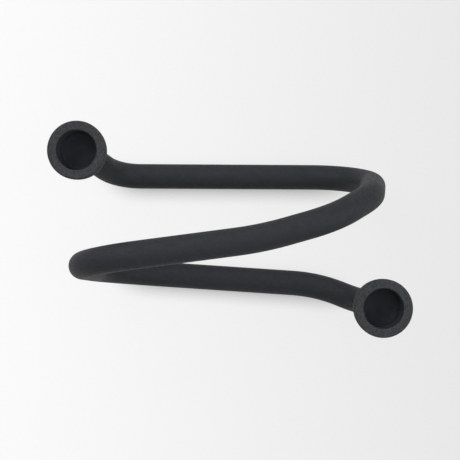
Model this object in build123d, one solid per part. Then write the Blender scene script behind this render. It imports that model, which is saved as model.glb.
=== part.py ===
from build123d import *

import os

# Spiral candle holder: one bent steel tube that stands as an open coil of one and a half turns,
# with a turned candle cup screwed to each upturned end.
# Millimetres. +X runs to the right along the coil, +Y to the rear, +Z up.
# The origin is on the table, midway between the two cups.

# Overall size: across the cups in plan, and up to the top of the loop
OVERALL_WIDTH = 209.8
OVERALL_DEPTH = 124.6
OVERALL_HEIGHT = 120.0

# Tube stock and the bender's radii, measured to the tube's centreline
TUBE_OD = 16.0
TUBE_WALL = 1.5
LOOP_BEND_R = 36.0
STEM_BEND_R = 24.0
LIFT_BEND_R = 60.0
TOP_SWEEP_R = 200.0

# Heights above the centreline of the runs on the table, and the shoulder's drop from the top run
SHOULDER_DROP = 25.5
LEFT_KNEE_RISE = 31.0
RIGHT_LIFT_RISE = 12.5
RIGHT_KNEE_RISE = 31.5
STEM_RISE = 57.5

# Corners of the tube's centreline in plan, from the axis of the cup on that side and at that end.
# The left cup stands to the rear and the right one to the front.
REAR_RUN_START_IN_X = 14.5
REAR_RUN_START_IN_Y = 10.8
RIGHT_FOOT_OUT_X = 5.5
RIGHT_FOOT_IN_Y = 11.8
RIGHT_SHOULDER_IN_X = 6.0
RIGHT_SHOULDER_IN_Y = 26.3
TOP_RUN_RIGHT_IN_X = 29.0
TOP_RUN_RIGHT_IN_Y = 38.8
TOP_RUN_LEFT_OUT_X = 2.0
TOP_RUN_LEFT_IN_Y = 26.2
LEFT_FOOT_IN_X = 6.5
LEFT_FOOT_IN_Y = 18.7
FRONT_RUN_END_IN_X = 31.5
FRONT_RUN_END_IN_Y = 9.5
RIGHT_LIFT_IN_X = 6.0
RIGHT_LIFT_OUT_Y = 0.5

# Gentle bend of the top run, from the right cup's axis and forward of the part's middle
TOP_SWEEP_IN_X = 70.0
TOP_SWEEP_FORWARD = 5.1

# Turned candle cup
CUP_OD = 33.8
CANDLE_BORE_D = 23.0
CANDLE_BORE_DEPTH = 22.0
BORE_FLOOR_ROUND = 3.0
CUP_FLOOR_T = 8.5
BORE_SKIN_T = 1.5
RIM_BAND_H = 3.0
RIM_OUTER_ROUND = 1.2
RIM_INNER_ROUND = 0.8
COLLAR_WALL = 3.0
COLLAR_H = 5.0
COLLAR_ROUND = 0.8
SOCKET_DEPTH = 8.0

# Threaded insert in each tube end
INSERT_FLANGE_T = 1.5
INSERT_BODY_L = 14.0
INSERT_NOSE_CHAMFER = 1.0

# Headless screw that joins each cup to its insert, and the split washer that locks it
SCREW_D = 5.0
SCREW_L = 16.0
SCREW_END_CHAMFER = 0.6
HEX_KEY_AF = 2.5
HEX_KEY_DEPTH = 2.0
HEX_SIDES = 6
WASHER_OD = 9.2
WASHER_T = 1.2
WASHER_SLIT = 1.0

# Fits, as gaps on the radius unless named a depth
SOCKET_CLEARANCE = 0.1
INSERT_CLEARANCE = 0.05
THREAD_CLEARANCE = 0.05
SCREW_END_DEPTH = 0.4
WASHER_CLEARANCE = 0.15
WASHER_RECESS_CLEARANCE = 0.4

# Levels worked out from the sizes above
RUN_Z = TUBE_OD / 2
TOP_RUN_Z = OVERALL_HEIGHT - TUBE_OD / 2
SHOULDER_Z = TOP_RUN_Z - SHOULDER_DROP
TUBE_END_Z = RUN_Z + STEM_RISE
SEAT_Z = TUBE_END_Z + INSERT_FLANGE_T
CUP_BASE_Z = SEAT_Z - SOCKET_DEPTH
BORE_FLOOR_Z = SEAT_Z + CUP_FLOOR_T
RIM_Z = BORE_FLOOR_Z + CANDLE_BORE_DEPTH
WASHER_TOP_Z = SEAT_Z + WASHER_T
THREAD_TOP_Z = BORE_FLOOR_Z - BORE_SKIN_T
SCREW_TOP_Z = THREAD_TOP_Z - SCREW_END_DEPTH
SCREW_FOOT_Z = SCREW_TOP_Z - SCREW_L

CUP_X = (OVERALL_WIDTH - CUP_OD) / 2
CUP_Y = (OVERALL_DEPTH - CUP_OD) / 2
CUP_AXES = {"left": (-CUP_X, CUP_Y), "right": (CUP_X, -CUP_Y)}


def bend_table():
    """Corners of the tube's centreline from the left cup to the right one, and the inner corners' radii."""
    left_x, left_y = CUP_AXES["left"]
    right_x, right_y = CUP_AXES["right"]
    corners = [
        ((left_x, left_y, TUBE_END_Z), None),
        ((left_x, left_y, RUN_Z + LEFT_KNEE_RISE), STEM_BEND_R),
        ((left_x + REAR_RUN_START_IN_X, left_y - REAR_RUN_START_IN_Y, RUN_Z), STEM_BEND_R),
        ((right_x + RIGHT_FOOT_OUT_X, left_y - RIGHT_FOOT_IN_Y, RUN_Z), LOOP_BEND_R),
        ((right_x - RIGHT_SHOULDER_IN_X, left_y - RIGHT_SHOULDER_IN_Y, SHOULDER_Z), LOOP_BEND_R),
        ((right_x - TOP_RUN_RIGHT_IN_X, left_y - TOP_RUN_RIGHT_IN_Y, TOP_RUN_Z), LOOP_BEND_R),
        ((right_x - TOP_SWEEP_IN_X, -TOP_SWEEP_FORWARD, TOP_RUN_Z), TOP_SWEEP_R),
        ((left_x - TOP_RUN_LEFT_OUT_X, right_y + TOP_RUN_LEFT_IN_Y, TOP_RUN_Z), LOOP_BEND_R),
        ((left_x + LEFT_FOOT_IN_X, right_y + LEFT_FOOT_IN_Y, RUN_Z), LOOP_BEND_R),
        ((right_x - FRONT_RUN_END_IN_X, right_y + FRONT_RUN_END_IN_Y, RUN_Z), LIFT_BEND_R),
        ((right_x - RIGHT_LIFT_IN_X, right_y - RIGHT_LIFT_OUT_Y, RUN_Z + RIGHT_LIFT_RISE), STEM_BEND_R),
        ((right_x, right_y, RUN_Z + RIGHT_KNEE_RISE), STEM_BEND_R),
        ((right_x, right_y, TUBE_END_Z), None),
    ]
    points = [point for point, _ in corners]
    radii = [radius for _, radius in corners[1:-1]]
    return points, radii


def spiral_tube():
    """Round tube bent along the coil: straight runs joined by tangent arcs."""
    points, radii = bend_table()
    centreline = FilletPolyline(*points, radius=radii)
    end_plane = Plane(origin=centreline @ 0, z_dir=centreline % 0)
    section = end_plane * (Circle(TUBE_OD / 2) - Circle(TUBE_OD / 2 - TUBE_WALL))
    tube = sweep(section, path=centreline)
    share = tube.volume / (section.area * centreline.length)
    print(f"tube length {centreline.length:.1f} mm, volume over section times length {share:.5f}")
    return tube


def rod(radius, low, high):
    """Upright cylinder on the Z axis between two levels."""
    return Pos(0, 0, low) * Cylinder(radius, high - low, align=(Align.CENTER, Align.CENTER, Align.MIN))


def round_edges(shape, level):
    """Circular edges of a turned piece at one level, smallest first."""
    circles = shape.edges().filter_by(GeomType.CIRCLE)
    return circles.filter_by_position(Axis.Z, level, level).sort_by(SortBy.RADIUS)


def candle_cup():
    """Turned cup: barrel bowl on a collar that slips over the tube, bored for the candle from above."""
    rim_r = CUP_OD / 2
    socket_r = TUBE_OD / 2 + SOCKET_CLEARANCE
    collar_r = socket_r + COLLAR_WALL
    collar_top = (collar_r, CUP_BASE_Z + COLLAR_H)
    band_foot = (rim_r, RIM_Z - RIM_BAND_H)
    bowl = TangentArc(band_foot, collar_top, tangent=(0, -1))
    collar_foot = (collar_r, CUP_BASE_Z)
    blank = Polyline(collar_top, collar_foot, (0, CUP_BASE_Z), (0, RIM_Z), (rim_r, RIM_Z), band_foot)
    cup = revolve(Plane.XZ * make_face([bowl, *blank.edges()]), Axis.Z)
    bore = rod(CANDLE_BORE_D / 2, BORE_FLOOR_Z, RIM_Z)
    cup -= fillet(round_edges(bore, BORE_FLOOR_Z), BORE_FLOOR_ROUND)
    cup -= rod(SCREW_D / 2 + THREAD_CLEARANCE, WASHER_TOP_Z, THREAD_TOP_Z)
    cup -= rod(WASHER_OD / 2 + WASHER_RECESS_CLEARANCE, SEAT_Z, WASHER_TOP_Z)
    cup -= rod(socket_r, CUP_BASE_Z, SEAT_Z)
    cup = fillet(round_edges(cup, RIM_Z)[-1], RIM_OUTER_ROUND)
    cup = fillet(round_edges(cup, RIM_Z)[0], RIM_INNER_ROUND)
    return fillet(round_edges(cup, CUP_BASE_Z)[-1], COLLAR_ROUND)


def tube_insert():
    """Flanged plug pushed into the tube's end, with a blind thread for the cup's screw."""
    body_r = TUBE_OD / 2 - TUBE_WALL - INSERT_CLEARANCE
    foot_z = TUBE_END_Z - INSERT_BODY_L
    body = rod(body_r, foot_z, TUBE_END_Z)
    body = chamfer(round_edges(body, foot_z), INSERT_NOSE_CHAMFER)
    body += rod(TUBE_OD / 2, TUBE_END_Z, SEAT_Z)
    return body - rod(SCREW_D / 2 + THREAD_CLEARANCE, SCREW_FOOT_Z, SEAT_Z)


def lock_washer():
    """Split spring washer in a recess of the cup's seat, pressed on the insert's flange."""
    hole = rod(SCREW_D / 2 + WASHER_CLEARANCE, SEAT_Z, WASHER_TOP_Z)
    ring = rod(WASHER_OD / 2, SEAT_Z, WASHER_TOP_Z) - hole
    slit = Box(WASHER_OD, WASHER_SLIT, WASHER_T, align=(Align.MIN, Align.CENTER, Align.MIN))
    return ring - Pos(0, 0, SEAT_Z) * slit


def cup_screw():
    """Headless screw driven to the bottom of the insert, for the cup to spin onto."""
    screw = rod(SCREW_D / 2, SCREW_FOOT_Z, SCREW_TOP_Z)
    ends = round_edges(screw, SCREW_FOOT_Z) + round_edges(screw, SCREW_TOP_Z)
    screw = chamfer(ends, SCREW_END_CHAMFER)
    hexagon = RegularPolygon(HEX_KEY_AF / 2, HEX_SIDES, major_radius=False)
    return screw - extrude(Plane.XY.offset(SCREW_TOP_Z - HEX_KEY_DEPTH) * hexagon, HEX_KEY_DEPTH)


def write(name, shape):
    """Name a piece and write it to its own file."""
    shape.label = name
    export_step(shape, os.path.join("parts", name + ".step"))


os.makedirs("parts", exist_ok=True)
write("spiral_tube", spiral_tube())
for side, (axis_x, axis_y) in CUP_AXES.items():
    for make in (candle_cup, tube_insert, lock_washer, cup_screw):
        write(f"{make.__name__}_{side}", Pos(axis_x, axis_y, 0) * make())
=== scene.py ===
import functools
import math
from typing import NamedTuple

import bpy
from bpy.props import FloatProperty, FloatVectorProperty, PointerProperty
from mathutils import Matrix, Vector

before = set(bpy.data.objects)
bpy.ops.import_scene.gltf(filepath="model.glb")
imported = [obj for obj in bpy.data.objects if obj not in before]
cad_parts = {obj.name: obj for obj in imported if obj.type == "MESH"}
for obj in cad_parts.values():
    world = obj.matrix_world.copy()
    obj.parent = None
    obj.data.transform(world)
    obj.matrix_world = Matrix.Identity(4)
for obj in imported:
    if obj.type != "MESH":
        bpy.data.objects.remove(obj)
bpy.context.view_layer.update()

bl_info = {
    "name": "Spiral Candle Holder",
    "version": (1, 0, 0),
    "blender": (4, 5, 0),
    "location": "View3D > Sidebar > Candle Holder",
    "description": "Powder coat, fasteners and studio for a bent-tube spiral candle holder",
    "category": "Object",
}

SIDES = ("left", "right")

BLACK = (0.0, 0.0, 0.0, 1.0)
WHITE = (1.0, 1.0, 1.0, 1.0)

# Middle of a piece's box, and the turn between a thread's crest and its root
BOX_MIDDLE = 0.5
HALF_TURN = 0.5

# Most of a noise lies between these levels. Each finer layer has the harshness's share of the last one.
NOISE_LOW = 0.35
NOISE_HIGH = 0.65
NOISE_HARSHNESS = 0.5

# Widths of the powder coat's mottle and flow over its orange peel's, and how finely each pattern breaks up
MOTTLE_SHARE = 1.6
MOTTLE_DETAIL = 4.0
FLOW_SHARE = 0.7
FLOW_DETAIL = 3.0
PEEL_DETAIL = 2.0
GRAIN_DETAIL = 3.0
GRAIN_HARSHNESS = 0.6
SAND_DETAIL = 2.0

# The candle bore in a cup, in metres from the cup's axis and from its foot.
# The bore's coat, with the painted light that lifts the shade in the bore, reaches past the wall and the
# floor by the slacks, so that all of both have it.
BORE_RADIUS = 0.0115
BORE_FLOOR = 0.0165
BORE_WALL_FOOT = 0.0195
BORE_WALL_SLACK = 0.0001
BORE_FLOOR_SLACK = 0.001

# A screw has its thread on the faces that lie farther than this from its axis, in metres
THREAD_FACE = 0.0023

# Gloss and fine marks of the plated and the blackened metal, the marks' height in metres
GLOSS_DETAIL = 3.0
MARK_DETAIL = 2.0
MARK_HEIGHT = 0.00001

# The table's paleness, a painted fall of light from the left, fades from left to right over this distance on
# each side, in metres
FLOOR_FADE_REACH = 0.28
TABLE_ROUGHNESS = 0.9

# The painted contact shadow's softness, and the tries that its reach is felt out with
CONTACT_FADE = 2.0
CONTACT_SAMPLES = 16

# Brightness of the backdrop where it is looked at
BACKDROP_LEVEL = 0.9

# Width of the camera's sensor, which its focal length goes with, and where its view starts, in metres
SENSOR_WIDTH_MM = 36.0
CAMERA_CLIP = 0.01


class MetalPattern(NamedTuple):
    """Sizes in metres of a metal finish's patches, gloss and marks, and the levels that they run between."""

    patch_size: float
    patch_detail: float
    patch_start: float
    patch_full: float
    gloss_size: float
    bright_roughness: float
    dull_roughness: float
    mark_size: float


ZINC_PATTERN = MetalPattern(
    patch_size=0.003, patch_detail=5.0, patch_start=0.40, patch_full=0.65,
    gloss_size=0.0012, bright_roughness=0.28, dull_roughness=0.42, mark_size=0.0003)
OXIDE_PATTERN = MetalPattern(
    patch_size=0.0016, patch_detail=4.0, patch_start=0.50, patch_full=0.72,
    gloss_size=0.0009, bright_roughness=0.40, dull_roughness=0.55, mark_size=0.00025)


class LampPlace(NamedTuple):
    """A soft lamp, its degrees round from the right to the rear and up from the table, and its setting."""

    name: str
    bearing: float
    elevation: float
    power: str


LAMPS = (
    LampPlace("key_lamp", bearing=135.0, elevation=40.0, power="key_power"),
    LampPlace("rear_lamp", bearing=90.0, elevation=40.0, power="rear_power"),
    LampPlace("right_lamp", bearing=0.0, elevation=40.0, power="right_power"),
    LampPlace("fill_lamp", bearing=315.0, elevation=40.0, power="fill_power"),
    LampPlace("top_lamp", bearing=0.0, elevation=90.0, power="top_power"),
)


class PowderCoatSettings(bpy.types.PropertyGroup):
    """Black fine-texture powder coat on the tube and the cups"""

    deep_colour: FloatVectorProperty(
        name="Deep Colour", description="Coat colour in the hollows of its mottle",
        subtype="COLOR", size=3, min=0.0, max=1.0, default=(0.0192, 0.0202, 0.0234))
    raised_colour: FloatVectorProperty(
        name="Raised Colour", description="Coat colour on the high spots of its mottle",
        subtype="COLOR", size=3, min=0.0, max=1.0, default=(0.0221, 0.0233, 0.0270))
    cup_lift: FloatVectorProperty(
        name="Cup Lift",
        description="Paleness of the sandy coat on the cups, against the tube's, in red, green and blue",
        size=3, min=0.1, max=5.0, default=(2.18, 2.11, 1.98))
    cup_dryness: FloatProperty(
        name="Cup Dryness", description="Roughness that the cups' sandy coat has on top of the tube's",
        subtype="FACTOR", min=0.0, max=0.5, default=0.15)
    cup_sheen_level: FloatProperty(
        name="Cup Sheen Level", description="Strength of the soft reflection on the cups",
        subtype="FACTOR", min=0.0, max=1.0, default=0.05)
    # Painted light in the bores: the coat's paleness at the mouth, the wall's foot and the floor lifts the
    # shade that falls in the recess.
    bore_mouth_painted_light: FloatProperty(
        name="Bore Mouth Lift", description="Paleness of the coat at the bores' mouths, against the tube's",
        subtype="FACTOR", min=0.1, max=5.0, default=1.05)
    bore_wall_painted_light: FloatProperty(
        name="Bore Wall Lift", description="Paleness of the dry coat at the foot of the bores' walls",
        subtype="FACTOR", min=0.1, max=5.0, default=3.4)
    bore_floor_painted_light: FloatProperty(
        name="Bore Floor Lift", description="Paleness of the coat on the bores' floors",
        subtype="FACTOR", min=0.1, max=5.0, default=3.1)
    smooth_roughness: FloatProperty(
        name="Smooth Roughness", description="Roughness where the coat flowed out",
        subtype="FACTOR", min=0.0, max=1.0, default=0.56)
    dry_roughness: FloatProperty(
        name="Dry Roughness", description="Roughness where the coat stayed dry",
        subtype="FACTOR", min=0.0, max=1.0, default=0.70)
    sheen_level: FloatProperty(
        name="Sheen Level", description="Strength of the coat's soft reflection",
        subtype="FACTOR", min=0.0, max=1.0, default=0.16)
    grain_size: FloatProperty(
        name="Grain Size", description="Width of one grain of the coat's texture",
        subtype="DISTANCE", unit="LENGTH", min=0.0001, max=0.005, default=0.0005)
    grain_height: FloatProperty(
        name="Grain Height", description="Height of one grain of the coat's texture",
        subtype="DISTANCE", unit="LENGTH", min=0.0, max=0.001, default=0.00005)
    sand_size: FloatProperty(
        name="Sand Size", description="Width of one speck in the cups' sandy coat",
        subtype="DISTANCE", unit="LENGTH", min=0.0001, max=0.005, default=0.00052)
    sand_contrast: FloatProperty(
        name="Sand Contrast", description="How much the specks of the cups' sandy coat differ in paleness",
        subtype="FACTOR", min=0.0, max=1.0, default=0.40)
    peel_size: FloatProperty(
        name="Peel Size", description="Width of the coat's broad orange-peel waves",
        subtype="DISTANCE", unit="LENGTH", min=0.0005, max=0.02, default=0.0026)
    peel_height: FloatProperty(
        name="Peel Height", description="Height of the coat's broad orange-peel waves",
        subtype="DISTANCE", unit="LENGTH", min=0.0, max=0.001, default=0.00002)


class FastenerSettings(bpy.types.PropertyGroup):
    """Plated inserts and washers, and the oxide-black screws"""

    zinc_colour: FloatVectorProperty(
        name="Zinc Colour", description="Colour of the plating on inserts and washers",
        subtype="COLOR", size=3, min=0.0, max=1.0, default=(0.55, 0.56, 0.58))
    zinc_stain: FloatVectorProperty(
        name="Zinc Stain", description="Duller patches in the plating",
        subtype="COLOR", size=3, min=0.0, max=1.0, default=(0.40, 0.41, 0.40))
    oxide_colour: FloatVectorProperty(
        name="Oxide Colour", description="Colour of the black oxide on the screws",
        subtype="COLOR", size=3, min=0.0, max=1.0, default=(0.030, 0.030, 0.032))
    oxide_rub: FloatVectorProperty(
        name="Oxide Rub", description="Steel showing where the oxide is rubbed",
        subtype="COLOR", size=3, min=0.0, max=1.0, default=(0.075, 0.074, 0.073))
    thread_pitch: FloatProperty(
        name="Thread Pitch", description="Rise of the screw's thread in one turn",
        subtype="DISTANCE", unit="LENGTH", min=0.0002, max=0.005, default=0.0008)
    thread_depth: FloatProperty(
        name="Thread Depth", description="Depth of the screw's thread on the radius",
        subtype="DISTANCE", unit="LENGTH", min=0.0001, max=0.002, default=0.00045)


class StageSettings(bpy.types.PropertyGroup):
    """Table, lamps and camera"""

    # Floor Left and Floor Right are painted light: the table's colour falls off from the lit left side to
    # the right.
    floor_left: FloatVectorProperty(
        name="Floor Left", description="Table colour on the lit left side",
        subtype="COLOR", size=3, min=0.0, max=1.0, default=(0.990, 0.990, 0.990))
    floor_right: FloatVectorProperty(
        name="Floor Right", description="Table colour on the right side",
        subtype="COLOR", size=3, min=0.0, max=1.0, default=(0.783, 0.783, 0.783))
    floor_size: FloatProperty(
        name="Floor Size", description="Width of the table",
        subtype="DISTANCE", unit="LENGTH", min=0.5, max=20.0, default=6.0)
    floor_glow: FloatProperty(
        name="Floor Glow", description="Share of the table's paleness that shadows leave as it is",
        subtype="FACTOR", min=0.0, max=1.0, default=0.93)
    # The contact settings paint a shadow into the table's colour beside the tube.
    contact_reach: FloatProperty(
        name="Contact Reach", description="Width of the soft shadow beside the tube that lies on the table",
        subtype="DISTANCE", unit="LENGTH", min=0.001, max=0.1, default=0.013)
    contact_side: FloatVectorProperty(
        name="Contact Side", description="Direction that the contact shadow's light comes from",
        subtype="DIRECTION", size=3, default=(-0.05, 0.55, 0.83))
    contact_depth: FloatProperty(
        name="Contact Depth", description="How dark the contact shadow is at the tube",
        subtype="FACTOR", min=0.0, max=1.0, default=0.94)
    camera_shift: FloatProperty(
        name="Camera Shift", description="Camera's place to the rear of the object's middle",
        subtype="DISTANCE", unit="LENGTH", min=-0.1, max=0.1, default=-0.0004)
    camera_height: FloatProperty(
        name="Camera Height", description="Camera's height above the table",
        subtype="DISTANCE", unit="LENGTH", min=0.2, max=5.0, default=0.751)
    camera_lens: FloatProperty(
        name="Camera Lens", description="Focal length of the camera, in millimetres",
        subtype="DISTANCE_CAMERA", unit="CAMERA", min=10.0, max=300.0, default=89.4)
    ambient_level: FloatProperty(
        name="Ambient Level", description="Even light from all round", min=0.0, max=2.0, default=0.27)
    lamp_size: FloatProperty(
        name="Lamp Size", description="Width of each soft lamp",
        subtype="DISTANCE", unit="LENGTH", min=0.05, max=5.0, default=1.0)
    lamp_distance: FloatProperty(
        name="Lamp Distance", description="Distance of each soft lamp from the object",
        subtype="DISTANCE", unit="LENGTH", min=0.3, max=10.0, default=1.4)
    key_power: FloatProperty(
        name="Key Power", description="Power of the lamp at the rear left",
        subtype="POWER", min=0.0, max=500.0, default=9.8)
    rear_power: FloatProperty(
        name="Rear Power", description="Power of the lamp behind the object",
        subtype="POWER", min=0.0, max=500.0, default=3.1)
    right_power: FloatProperty(
        name="Right Power", description="Power of the lamp on the right",
        subtype="POWER", min=0.0, max=500.0, default=7.7)
    fill_power: FloatProperty(
        name="Fill Power", description="Power of the lamp at the front right",
        subtype="POWER", min=0.0, max=500.0, default=2.9)
    top_power: FloatProperty(
        name="Top Power", description="Power of the lamp overhead",
        subtype="POWER", min=0.0, max=500.0, default=2.7)


class CandleHolderSettings(bpy.types.PropertyGroup):
    """All settings of the spiral candle holder"""

    coat: PointerProperty(type=PowderCoatSettings, name="Coat", description="Powder coat")
    fasteners: PointerProperty(
        type=FastenerSettings, name="Fasteners", description="Inserts, washers and screws")
    stage: PointerProperty(type=StageSettings, name="Stage", description="Table, lamps and camera")


def settings(context):
    """The candle holder's settings in this scene."""
    return context.scene.candle_holder


def cad_node(name):
    """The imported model's object for a node."""
    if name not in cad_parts:
        raise RuntimeError(f"the packed model has no node named {name}")
    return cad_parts[name]


def give_material(piece, material):
    """The piece shows this one material."""
    piece.data.materials.clear()
    piece.data.materials.append(material)


class NodeBuilder:
    """Nodes that feed the shader of a new material or world, joined by the names of their sockets."""

    def __init__(self, owner, shader_name):
        owner.use_nodes = True
        self.tree = owner.node_tree
        self.shader = self.tree.nodes[shader_name]

    @functools.cached_property
    def coordinates(self):
        """Places on the piece that the nodes are for."""
        return self.add("ShaderNodeTexCoord")

    def feed(self, socket, value):
        """Give an input socket a value, or link an output socket to it."""
        if isinstance(value, bpy.types.NodeSocket):
            self.tree.links.new(value, socket)
        else:
            socket.default_value = value

    def add(self, kind, **values):
        """A node of this kind, with attributes set, or inputs fed, by name."""
        node = self.tree.nodes.new(kind)
        for name, value in values.items():
            if hasattr(node, name):
                setattr(node, name, value)
            else:
                self.feed(node.inputs[name.replace("_", " ")], value)
        return node

    def shade(self, **values):
        """Feed the shader's inputs by name."""
        for name, value in values.items():
            self.feed(self.shader.inputs[name.replace("_", " ")], value)

    def noise(self, size, detail, harshness=NOISE_HARSHNESS):
        """Noise in the part's own frame, with cells of this size in metres."""
        node = self.add(
            "ShaderNodeTexNoise", Vector=self.coordinates.outputs["Object"],
            Scale=1.0 / size, Detail=detail, Roughness=harshness)
        return node.outputs["Fac"]

    def between(self, factor, *stops):
        """Colours blended as the factor goes through the stops, each a place and a colour."""
        ramp = self.add("ShaderNodeValToRGB", Fac=factor)
        elements = ramp.color_ramp.elements
        while len(elements) < len(stops):
            elements.new(1.0)
        for element, (place, colour) in zip(elements, stops):
            element.position = place
            element.color = (*colour, 1.0)
        return ramp.outputs["Color"]

    def spread(self, factor, low, high):
        """A noise's middle spread to run from low to high."""
        node = self.add(
            "ShaderNodeMapRange", Value=factor,
            From_Min=NOISE_LOW, From_Max=NOISE_HIGH, To_Min=low, To_Max=high)
        return node.outputs["Result"]

    def scaled(self, colour, factor):
        """A colour times a factor."""
        node = self.add("ShaderNodeVectorMath", operation="SCALE", Vector=colour, Scale=factor)
        return node.outputs["Vector"]

    def maths(self, operation, *values):
        """Values put together, each a socket or a number."""
        node = self.add("ShaderNodeMath", operation=operation)
        for socket, value in zip(node.inputs, values):
            self.feed(socket, value)
        return node.outputs["Value"]

    def axis_place(self):
        """Place round a turned piece's upright axis, in shares of its box.

        The shares are sideways and depthways from the axis, straight out from it, and up from the foot.
        """
        box = self.add("ShaderNodeSeparateXYZ", Vector=self.coordinates.outputs["Generated"])
        sideways = self.maths("SUBTRACT", box.outputs["X"], BOX_MIDDLE)
        depthways = self.maths("SUBTRACT", box.outputs["Y"], BOX_MIDDLE)
        square = self.maths("ADD", self.maths("POWER", sideways, 2.0), self.maths("POWER", depthways, 2.0))
        return sideways, depthways, self.maths("SQRT", square), box.outputs["Z"]

    def bump(self, height, distance, normal=None):
        """A bump of this real height, on top of another where one is given."""
        node = self.add("ShaderNodeBump", Strength=1.0, Distance=distance, Height=height)
        if normal is not None:
            self.feed(node.inputs["Normal"], normal)
        return node.outputs["Normal"]

    def looked_at(self):
        """One where the camera looks, also through a reflection, and nought where light only bounces."""
        path = self.add("ShaderNodeLightPath")
        seen = path.outputs["Is Camera Ray"]
        for ray in ("Is Glossy Ray", "Is Transmission Ray"):
            seen = self.maths("MAXIMUM", seen, path.outputs[ray])
        return seen


def surface_nodes(material):
    """Nodes that feed a new material's surface."""
    return NodeBuilder(material, "Principled BSDF")


def mottled_black(build, coat):
    """Colour of the powder coat: black with a faint mottle."""
    mottle = build.noise(coat.peel_size * MOTTLE_SHARE, MOTTLE_DETAIL)
    return build.between(mottle, (NOISE_LOW, coat.deep_colour), (NOISE_HIGH, coat.raised_colour))


def coat_surface(build, coat, sheen_level, dryness=0.0):
    """Feel of the powder coat: dry grain over broad orange peel, with a soft sheen."""
    flow = build.noise(coat.peel_size * FLOW_SHARE, FLOW_DETAIL)
    roughness = build.spread(flow, coat.smooth_roughness + dryness, coat.dry_roughness + dryness)
    peel = build.bump(build.noise(coat.peel_size, PEEL_DETAIL), coat.peel_height)
    grain = build.noise(coat.grain_size, GRAIN_DETAIL, GRAIN_HARSHNESS)
    texture = build.bump(grain, coat.grain_height, normal=peel)
    build.shade(Roughness=roughness, Normal=texture, Specular_IOR_Level=sheen_level)


def tube_coat(coat):
    """Matte black powder coat on the tube."""
    material = bpy.data.materials.new("tube_powder_coat")
    build = surface_nodes(material)
    build.shade(Base_Color=mottled_black(build, coat))
    coat_surface(build, coat, coat.sheen_level)
    return material


def cup_coat(coat, cup_box):
    """The powder coat on a cup with this box: sandy and paler, and in the bore painted light, paler from the
    mouth down, that lifts the bore's shade.
    """
    material = bpy.data.materials.new("cup_powder_coat")
    build = surface_nodes(material)
    _, _, radius, height = build.axis_place()
    within = build.maths("LESS_THAN", radius, (BORE_RADIUS + BORE_WALL_SLACK) / cup_box.x)
    above = build.maths("GREATER_THAN", height, (BORE_FLOOR - BORE_FLOOR_SLACK) / cup_box.z)
    inside = build.maths("MULTIPLY", within, above)
    # Painted light: the bore is made paler from the mouth down to the wall's foot and the floor, where shade
    # falls.
    bore = build.between(
        height,
        (BORE_FLOOR / cup_box.z, (coat.bore_floor_painted_light,) * 3),
        (BORE_WALL_FOOT / cup_box.z, (coat.bore_wall_painted_light,) * 3),
        (1.0, (coat.bore_mouth_painted_light,) * 3))
    specks = build.noise(coat.sand_size, SAND_DETAIL)
    sand = build.spread(specks, 1.0 - coat.sand_contrast, 1.0 + coat.sand_contrast)
    sandy = build.scaled(coat.cup_lift, sand)
    # The sandy tone outside the bore, and the bore's painted light inside it.
    sand_and_painted_light = build.add("ShaderNodeMix", data_type="VECTOR", Factor=inside, A=sandy, B=bore)
    colour = build.add("ShaderNodeVectorMath", operation="MULTIPLY")
    build.feed(colour.inputs[0], mottled_black(build, coat))
    build.feed(colour.inputs[1], sand_and_painted_light.outputs["Result"])
    build.shade(Base_Color=colour.outputs["Vector"])
    coat_surface(build, coat, coat.cup_sheen_level, coat.cup_dryness)
    return material


def worn_metal(build, pattern, colour, worn_colour, under=None):
    """Metal with worn patches, uneven gloss and fine marks, over another bump where one is given."""
    patches = build.noise(pattern.patch_size, pattern.patch_detail)
    patched = build.between(patches, (pattern.patch_start, colour), (pattern.patch_full, worn_colour))
    gloss = build.noise(pattern.gloss_size, GLOSS_DETAIL)
    roughness = build.spread(gloss, pattern.bright_roughness, pattern.dull_roughness)
    marks = build.bump(build.noise(pattern.mark_size, MARK_DETAIL), MARK_HEIGHT, normal=under)
    build.shade(Base_Color=patched, Metallic=1.0, Roughness=roughness, Normal=marks)


def zinc_plate(fasteners):
    """Bright zinc plating with dull stains."""
    material = bpy.data.materials.new("zinc_plate")
    worn_metal(surface_nodes(material), ZINC_PATTERN, fasteners.zinc_colour, fasteners.zinc_stain)
    return material


def screw_thread(build, fasteners, screw_box):
    """A bump that winds up a screw with this box as a V-shaped thread."""
    sideways, depthways, radius, height = build.axis_place()
    turn = build.maths("DIVIDE", build.maths("ARCTAN2", depthways, sideways), math.tau)
    climb = build.maths("MULTIPLY", height, screw_box.z / fasteners.thread_pitch)
    wave = build.maths("PINGPONG", build.maths("SUBTRACT", climb, turn), HALF_TURN)
    shank = build.maths("GREATER_THAN", radius, THREAD_FACE / screw_box.x)
    return build.bump(build.maths("MULTIPLY", wave, shank), fasteners.thread_depth / HALF_TURN)


def black_oxide(fasteners, screw_box):
    """Oxide-black steel with a thread, rubbed a little where it was handled."""
    material = bpy.data.materials.new("screw_black_oxide")
    build = surface_nodes(material)
    thread = screw_thread(build, fasteners, screw_box)
    worn_metal(build, OXIDE_PATTERN, fasteners.oxide_colour, fasteners.oxide_rub, thread)
    return material


class CANDLEHOLDER_OT_coat_tube(bpy.types.Operator):
    """Powder coat the bent tube"""

    bl_idname = "candleholder.coat_tube"
    bl_label = "Coat Spiral Tube"

    def execute(self, context):
        give_material(cad_node("spiral_tube"), tube_coat(settings(context).coat))
        return {"FINISHED"}


class CANDLEHOLDER_OT_coat_cups(bpy.types.Operator):
    """Powder coat the two candle cups"""

    bl_idname = "candleholder.coat_cups"
    bl_label = "Coat Candle Cups"

    def execute(self, context):
        cups = [cad_node(f"candle_cup_{side}") for side in SIDES]
        material = cup_coat(settings(context).coat, cups[0].dimensions)
        for cup in cups:
            give_material(cup, material)
        return {"FINISHED"}


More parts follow.
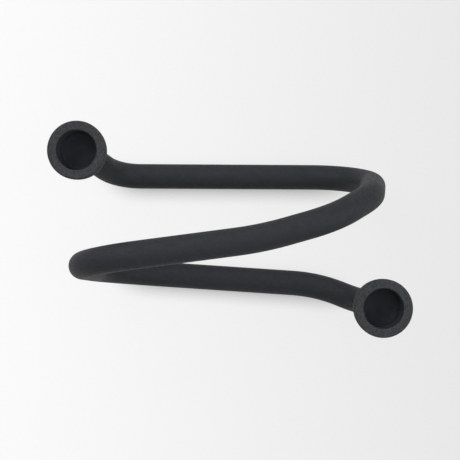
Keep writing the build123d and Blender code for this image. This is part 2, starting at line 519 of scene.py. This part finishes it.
class CANDLEHOLDER_OT_plate_inserts_and_washers(bpy.types.Operator):
    """Zinc plate the tube inserts and the lock washers"""

    bl_idname = "candleholder.plate_inserts_and_washers"
    bl_label = "Plate Inserts and Washers"

    def execute(self, context):
        material = zinc_plate(settings(context).fasteners)
        for side in SIDES:
            give_material(cad_node(f"tube_insert_{side}"), material)
            give_material(cad_node(f"lock_washer_{side}"), material)
        return {"FINISHED"}


class CANDLEHOLDER_OT_blacken_screws(bpy.types.Operator):
    """Blacken the two cup screws and give them their thread"""

    bl_idname = "candleholder.blacken_screws"
    bl_label = "Blacken Cup Screws"

    def execute(self, context):
        screws = [cad_node(f"cup_screw_{side}") for side in SIDES]
        material = black_oxide(settings(context).fasteners, screws[0].dimensions)
        for screw in screws:
            give_material(screw, material)
        return {"FINISHED"}


def table_material(stage):
    """Pale matte table with painted light that makes it a little darker to the right, a painted contact
    shadow beside the tube, and its shadows lightened where it is looked at.
    """
    material = bpy.data.materials.new("pale_table")
    build = surface_nodes(material)
    place = build.add("ShaderNodeSeparateXYZ", Vector=build.coordinates.outputs["Object"])
    # Painted light: the table's colour is paler on the left and darker to the right.
    across = build.add(
        "ShaderNodeMapRange", interpolation_type="SMOOTHSTEP", Value=place.outputs["X"],
        From_Min=-FLOOR_FADE_REACH, From_Max=FLOOR_FADE_REACH)
    paleness = build.between(across.outputs["Result"], (0.0, stage.floor_left), (1.0, stage.floor_right))
    # Painted contact shadow: ambient occlusion near the tube darkens the table's own colour.
    side_x, side_y, side_z = stage.contact_side
    side = build.add("ShaderNodeCombineXYZ", X=side_x, Y=side_y, Z=side_z)
    contact = build.add(
        "ShaderNodeAmbientOcclusion", samples=CONTACT_SAMPLES, Distance=stage.contact_reach,
        Normal=side.outputs["Vector"])
    hidden = build.maths("SUBTRACT", 1.0, contact.outputs["AO"])
    shadow = build.maths("MULTIPLY", build.maths("POWER", hidden, CONTACT_FADE), stage.contact_depth)
    colour = build.scaled(paleness, build.maths("SUBTRACT", 1.0, shadow))
    glow = build.maths("MULTIPLY", build.looked_at(), stage.floor_glow)
    matte = build.add("ShaderNodeMix", data_type="RGBA", Factor=glow, A=colour, B=BLACK)
    build.shade(Base_Color=matte.outputs["Result"], Emission_Color=colour, Emission_Strength=glow)
    build.shade(Roughness=TABLE_ROUGHNESS, Specular_IOR_Level=0.0)
    return material


def table_top(context, stage):
    """The square table that the object stands on."""
    mesh = bpy.data.meshes.new("table")
    half = stage.floor_size / 2
    corners = [(-half, -half, 0.0), (half, -half, 0.0), (half, half, 0.0), (-half, half, 0.0)]
    mesh.from_pydata(corners, [], [(0, 1, 2, 3)])
    table = bpy.data.objects.new("table", mesh)
    context.scene.collection.objects.link(table)
    give_material(table, table_material(stage))


def soft_lamp(context, stage, place):
    """A square soft lamp aimed at the object, seen in reflections but not by the camera."""
    data = bpy.data.lights.new(place.name, "AREA")
    data.shape = "SQUARE"
    data.size = stage.lamp_size
    data.energy = getattr(stage, place.power)
    lamp = bpy.data.objects.new(place.name, data)
    turn = math.radians(place.bearing)
    tilt = math.radians(place.elevation)
    aim = Vector((math.cos(tilt) * math.cos(turn), math.cos(tilt) * math.sin(turn), math.sin(tilt)))
    lamp.location = aim * stage.lamp_distance
    lamp.rotation_euler = aim.to_track_quat("Z", "Y").to_euler()
    lamp.visible_camera = False
    context.scene.collection.objects.link(lamp)


def studio_world(context, stage):
    """Even light from all round, and a pale backdrop where the camera looks past the table."""
    world = bpy.data.worlds.new("studio")
    build = NodeBuilder(world, "Background")
    level = build.add(
        "ShaderNodeMapRange", Value=build.looked_at(), To_Min=stage.ambient_level, To_Max=BACKDROP_LEVEL)
    build.shade(Color=WHITE, Strength=level.outputs["Result"])
    context.scene.world = world


def overhead_camera(context, stage):
    """The camera above the object, looking straight down."""
    data = bpy.data.cameras.new("camera")
    data.sensor_width = SENSOR_WIDTH_MM
    data.lens = stage.camera_lens
    data.clip_start = CAMERA_CLIP
    camera = bpy.data.objects.new("camera", data)
    camera.location = (0.0, stage.camera_shift, stage.camera_height)
    context.scene.collection.objects.link(camera)
    context.scene.camera = camera


class CANDLEHOLDER_OT_stage(bpy.types.Operator):
    """Set up the pale table, the soft lamps and the camera above the object"""

    bl_idname = "candleholder.stage"
    bl_label = "Set Up Stage"

    def execute(self, context):
        stage = settings(context).stage
        table_top(context, stage)
        for place in LAMPS:
            soft_lamp(context, stage, place)
        studio_world(context, stage)
        overhead_camera(context, stage)
        context.scene.view_settings.view_transform = "Standard"
        return {"FINISHED"}


OPERATORS = (
    CANDLEHOLDER_OT_coat_tube,
    CANDLEHOLDER_OT_coat_cups,
    CANDLEHOLDER_OT_plate_inserts_and_washers,
    CANDLEHOLDER_OT_blacken_screws,
    CANDLEHOLDER_OT_stage,
)


class CANDLEHOLDER_PT_sidebar(bpy.types.Panel):
    """The candle holder's steps and settings in the 3D view's sidebar"""

    bl_idname = "CANDLEHOLDER_PT_sidebar"
    bl_label = "Spiral Candle Holder"
    bl_space_type = "VIEW_3D"
    bl_region_type = "UI"
    bl_category = "Candle Holder"

    def draw(self, context):
        for operator in OPERATORS:
            self.layout.operator(operator.bl_idname)
        holder = settings(context)
        for group in (holder.coat, holder.fasteners, holder.stage):
            box = self.layout.box()
            for name in group.__annotations__:
                box.prop(group, name)


CLASSES = (
    PowderCoatSettings,
    FastenerSettings,
    StageSettings,
    CandleHolderSettings,
    *OPERATORS,
    CANDLEHOLDER_PT_sidebar,
)


def register():
    """Add the classes and the scene's settings."""
    for cls in CLASSES:
        bpy.utils.register_class(cls)
    bpy.types.Scene.candle_holder = PointerProperty(type=CandleHolderSettings)


def unregister():
    """Take the settings and the classes away again."""
    del bpy.types.Scene.candle_holder
    for cls in reversed(CLASSES):
        bpy.utils.unregister_class(cls)


def main():
    """Register the add-on, then finish every piece and set the stage."""
    register()
    bpy.ops.candleholder.coat_tube()
    bpy.ops.candleholder.coat_cups()
    bpy.ops.candleholder.plate_inserts_and_washers()
    bpy.ops.candleholder.blacken_screws()
    bpy.ops.candleholder.stage()


if __name__ == "__main__":
    main()
